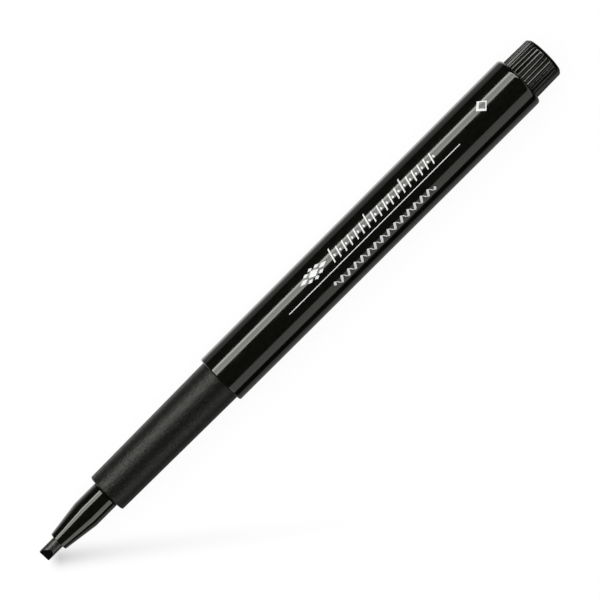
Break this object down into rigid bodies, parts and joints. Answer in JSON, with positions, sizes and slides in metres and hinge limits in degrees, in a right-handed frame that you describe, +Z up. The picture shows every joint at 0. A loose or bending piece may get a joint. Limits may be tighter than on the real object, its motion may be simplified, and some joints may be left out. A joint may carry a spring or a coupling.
{
  "type": "calligraphy marker",
  "caption": "Uncapped chisel-nib calligraphy marker: glossy tapered barrel, matt grip, stepped nose cone, fibre nib and ribbed end plug, with the ink reservoir inside.",
  "frame": {"origin": "on the pen's axis, halfway between the nib's edge and the end of the plug", "axes": "+X along the pen from the nib to the end plug; +Z is the side that carries the print and faces one bevel of the chisel nib; the pen lies flat with +Z up"},
  "size_m": [0.141, 0.0116, 0.0116],
  "materials": {
    "barrel_plastic": "polished black moulding with a pale printed rule and emblem",
    "plug_plastic": "satin black moulding, ribbed lengthwise",
    "grip_plastic": "black moulding with a fine eroded matt texture",
    "cone_plastic": "polished black moulding",
    "nib_fibre": "bonded fibre stained black with ink",
    "reservoir_fibre": "bonded fibre soaked with black ink",
    "wrap_film": "thin clear film"
  },
  "bodies": {
    "barrel_body": {"barrel": "barrel_plastic", "ink_reservoir": "reservoir_fibre", "reservoir_wrap": "wrap_film"},
    "front_section": {"grip_section": "grip_plastic", "nib_cone": "cone_plastic"},
    "nib_body": {"nib": "nib_fibre"},
    "plug_body": {"end_plug": "plug_plastic"}
  },
  "joints": [
    {"name": "section_pull", "type": "slide", "parent": "barrel_body", "child": "front_section", "axis": [-1, 0, 0], "range_m": [0, 0.013]},
    {"name": "nib_pull", "type": "slide", "parent": "front_section", "child": "nib_body", "axis": [-1, 0, 0], "range_m": [0, 0.028]},
    {"name": "plug_pull", "type": "slide", "parent": "barrel_body", "child": "plug_body", "axis": [1, 0, 0], "range_m": [0, 0.012]}
  ]
}
